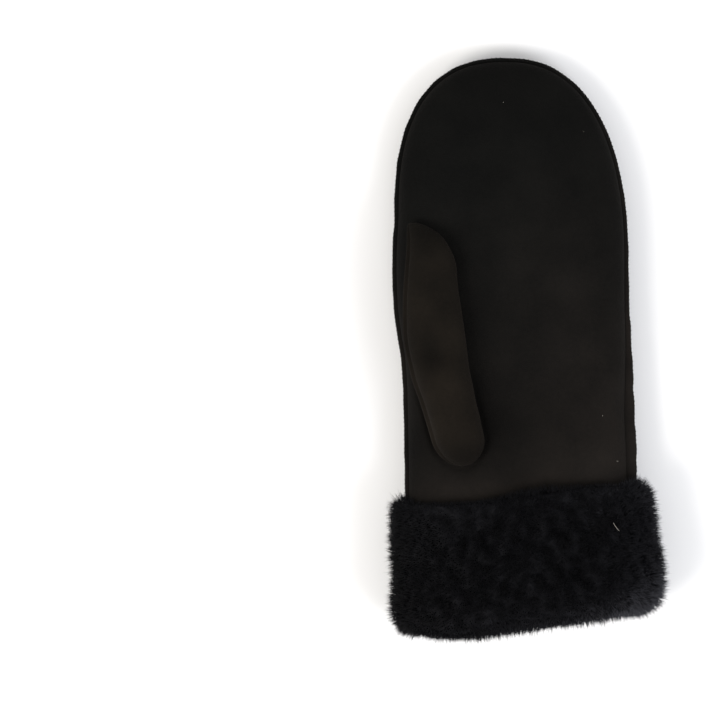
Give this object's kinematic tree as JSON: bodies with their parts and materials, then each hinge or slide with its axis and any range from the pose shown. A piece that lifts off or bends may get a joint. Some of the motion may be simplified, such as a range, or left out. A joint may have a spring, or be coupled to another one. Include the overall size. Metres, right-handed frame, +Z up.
{
  "type": "mitten",
  "caption": "Left-hand suede mitten with a set-in thumb, an outward side seam and a turned-up fur cuff.",
  "frame": {"origin": "on the surface the mitten lies on, under the middle of its outline seen from above", "axes": "+Y from the wrist to the fingertips, +Z up from the back of the hand to the palm, -X to the thumb side"},
  "size_m": [0.1394, 0.2917, 0.0578],
  "materials": {
    "suede": "napped suede, matte brownish black",
    "fur": "dense short fur, matte blue-black",
    "label": "smooth bare leather patch, matte black"
  },
  "bodies": {
    "root": {"palm_panel": "suede", "back_panel": "suede", "thumb": "suede", "fur_cuff": "fur", "label_patch": "label"}
  },
  "joints": []
}
